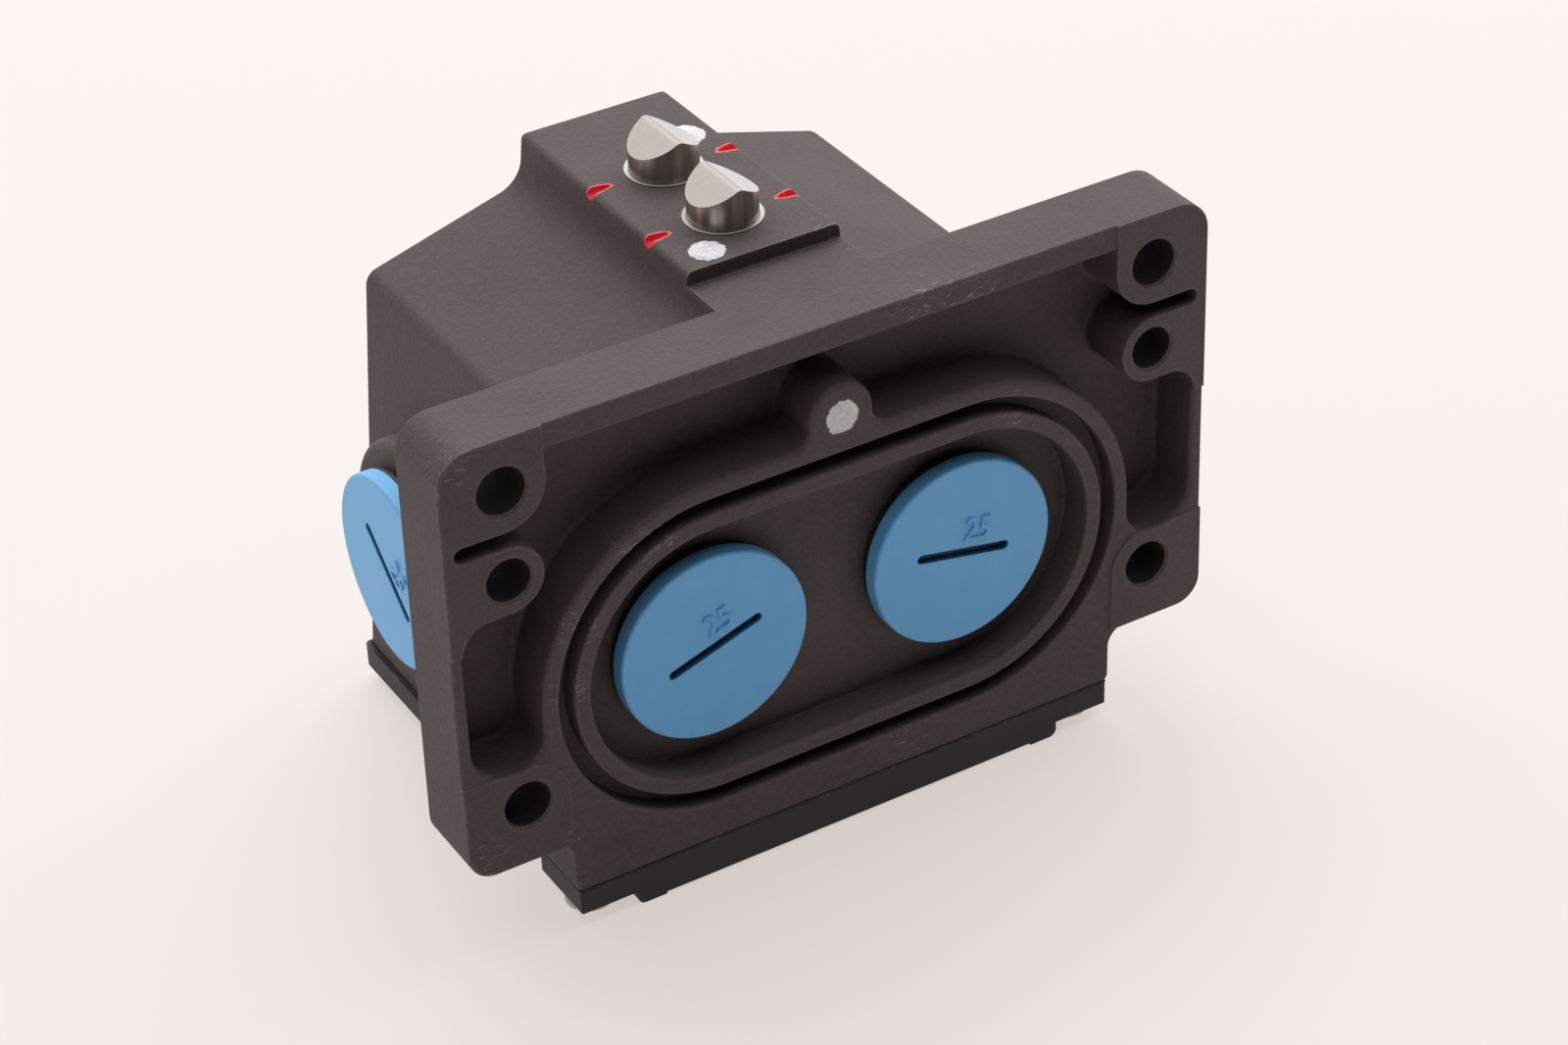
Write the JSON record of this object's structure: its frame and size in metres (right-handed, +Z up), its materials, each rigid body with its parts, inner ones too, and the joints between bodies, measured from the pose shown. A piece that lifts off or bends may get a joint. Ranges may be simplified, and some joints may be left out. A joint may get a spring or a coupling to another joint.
{
  "type": "mechanical cam switch",
  "caption": "Cam-operated position switch: roof plungers in a cast housing with a bolt-on front flange, sealed cable entries closed by blanking plugs, and a base cover.",
  "frame": {"origin": "middle of the four corner bolt holes, on the flange's bolting face", "axes": "+X along the flange, +Y back from the bolting face into the housing, +Z up towards the plungers"},
  "size_m": [0.12, 0.0701, 0.0903],
  "materials": {
    "casting_paint": "fine textured dark warm grey paint over a die-cast body",
    "cover_paint": "smooth black paint",
    "plug_plastic": "mid blue moulded plastic",
    "ground_steel": "ground and hardened steel",
    "bright_steel": "turned steel",
    "zinc_steel": "zinc-plated steel",
    "spring_steel": "drawn spring wire",
    "seal_rubber": "black nitrile rubber",
    "gasket_rubber": "black sheet rubber",
    "lacquer": "white sealing lacquer",
    "carrier_plastic": "glass-filled natural plastic",
    "case_plastic": "dark moulded plastic",
    "button_plastic": "red moulded plastic",
    "terminal_brass": "plain brass"
  },
  "bodies": {
    "housing_body": {"housing": "casting_paint", "base_cover": "cover_paint", "cover_gasket": "gasket_rubber", "cover_screws": "zinc_steel", "block_screws": "zinc_steel", "boss_screw": "zinc_steel", "earth_screw": "zinc_steel", "earth_clamp": "zinc_steel", "lacquer_seals": "lacquer", "switch_carrier": "carrier_plastic", "switch_screws": "zinc_steel", "lever_shaft": "bright_steel", "blanking_plug_left": "plug_plastic", "blanking_plug_right": "plug_plastic", "blanking_plug_side": "plug_plastic", "plug_seal_left": "seal_rubber", "plug_seal_right": "seal_rubber", "plug_seal_side": "seal_rubber", "guide_bush_front": "bright_steel", "snap_switch_front": "case_plastic", "terminals_front": "terminal_brass", "terminal_screws_front": "zinc_steel", "return_spring_front": "spring_steel", "guide_bush_rear": "bright_steel", "snap_switch_rear": "case_plastic", "terminals_rear": "terminal_brass", "terminal_screws_rear": "zinc_steel", "return_spring_rear": "spring_steel"},
    "plunger_front": {"plunger_front": "ground_steel", "retaining_ring_front": "spring_steel"},
    "lever_front": {"switch_lever_front": "bright_steel"},
    "button_front": {"switch_button_front": "button_plastic"},
    "plunger_rear": {"plunger_rear": "ground_steel", "retaining_ring_rear": "spring_steel"},
    "lever_rear": {"switch_lever_rear": "bright_steel"},
    "button_rear": {"switch_button_rear": "button_plastic"}
  },
  "joints": [
    {"name": "front_plunger_slide", "type": "slide", "parent": "housing_body", "child": "plunger_front", "axis": [0, 0, 1], "range_m": [-0.005, 0], "stiffness_N_per_m": 2000, "deforming": ["return_spring_front"]},
    {"name": "front_lever_pivot", "type": "hinge", "parent": "housing_body", "child": "lever_front", "pos_m": [-0.016, 0.03, -0.003], "axis": [0, 1, 0], "range_deg": [0, 19.5]},
    {"name": "front_button_slide", "type": "slide", "parent": "housing_body", "child": "button_front", "axis": [0, 0, 1], "range_m": [-0.0017, 0]},
    {"name": "rear_plunger_slide", "type": "slide", "parent": "housing_body", "child": "plunger_rear", "axis": [0, 0, 1], "range_m": [-0.005, 0], "stiffness_N_per_m": 2000, "deforming": ["return_spring_rear"]},
    {"name": "rear_lever_pivot", "type": "hinge", "parent": "housing_body", "child": "lever_rear", "pos_m": [-0.016, 0.046, -0.003], "axis": [0, 1, 0], "range_deg": [0, 19.5]},
    {"name": "rear_button_slide", "type": "slide", "parent": "housing_body", "child": "button_rear", "axis": [0, 0, 1], "range_m": [-0.0017, 0]}
  ],
  "couplings": [
    {"joint": "front_lever_pivot", "follows": "front_plunger_slide", "rad_per_m": -62.5},
    {"joint": "front_button_slide", "follows": "front_plunger_slide", "ratio": 0.3125},
    {"joint": "rear_lever_pivot", "follows": "rear_plunger_slide", "rad_per_m": -62.5},
    {"joint": "rear_button_slide", "follows": "rear_plunger_slide", "ratio": 0.3125}
  ]
}
